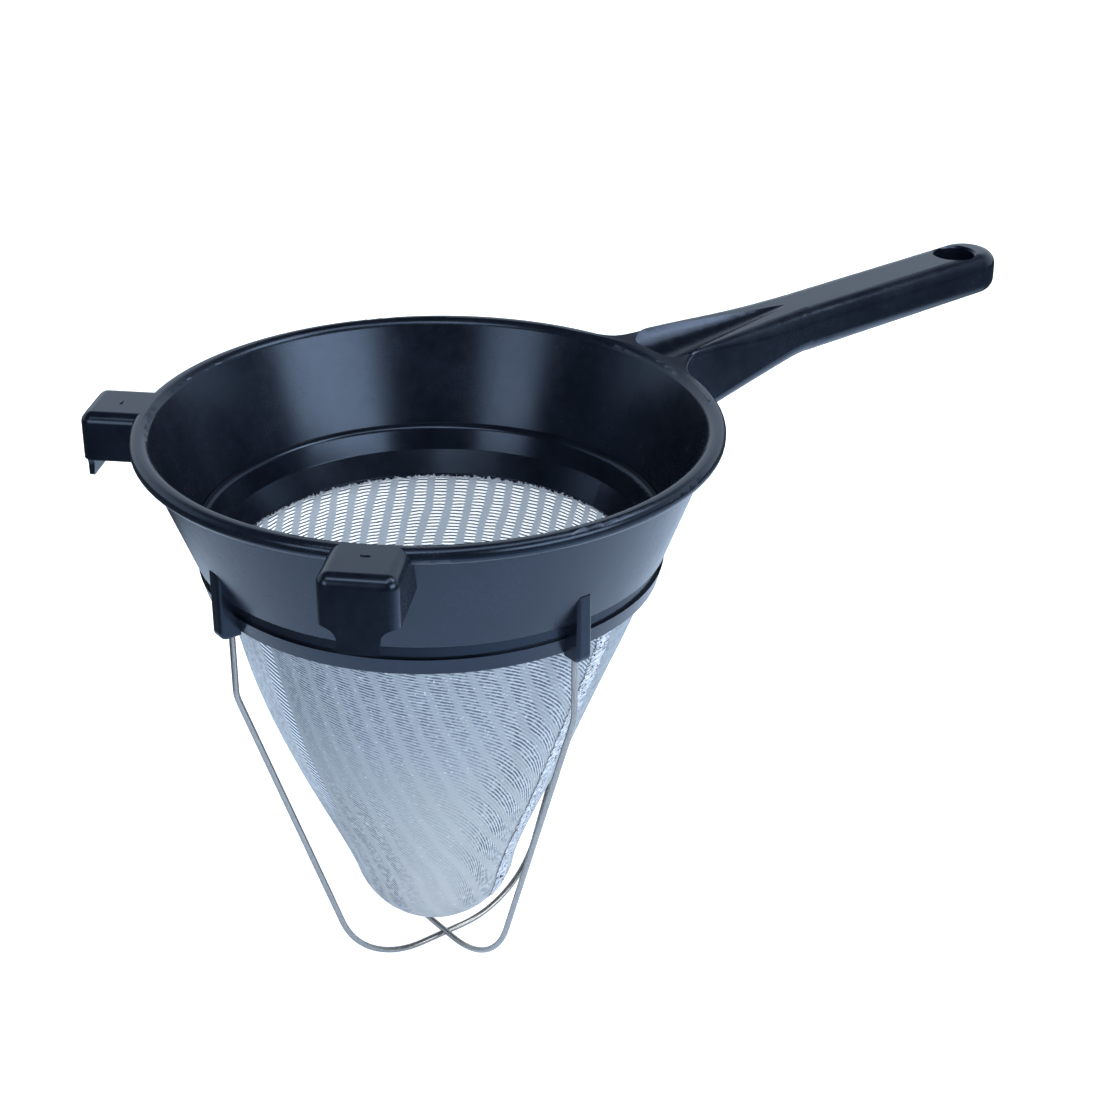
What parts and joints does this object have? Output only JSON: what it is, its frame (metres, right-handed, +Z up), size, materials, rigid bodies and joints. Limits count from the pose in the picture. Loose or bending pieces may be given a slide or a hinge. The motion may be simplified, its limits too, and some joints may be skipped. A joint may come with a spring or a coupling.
{
  "type": "chinois strainer",
  "caption": "Black moulded chinois with a long handle, pot hooks, crossed wire guards and a drop-in conical mesh sieve.",
  "frame": {"origin": "where the bowl's axis meets the plane of the rim's top", "axes": "+Z up along the bowl's axis, +X along the handle, away from the bowl"},
  "size_m": [0.391, 0.21, 0.2302],
  "materials": {
    "black_composite": "satin moulded, black with a blue cast",
    "ring_composite": "satin moulded, black with a blue cast",
    "steel_wire": "drawn, satin",
    "steel_mesh": "fine woven twill, silver blue-grey",
    "steel_seam": "lapped bright strip"
  },
  "bodies": {
    "frame": {"frame_moulding": "black_composite", "guard_wire_lower": "steel_wire", "guard_wire_upper": "steel_wire"},
    "sieve": {"sieve_ring": "ring_composite", "mesh_cone": "steel_mesh", "mesh_seam": "steel_seam"}
  },
  "joints": [
    {"name": "sieve_lift", "type": "slide", "parent": "frame", "child": "sieve", "axis": [0, 0, 1], "range_m": [0, 0.21]}
  ]
}
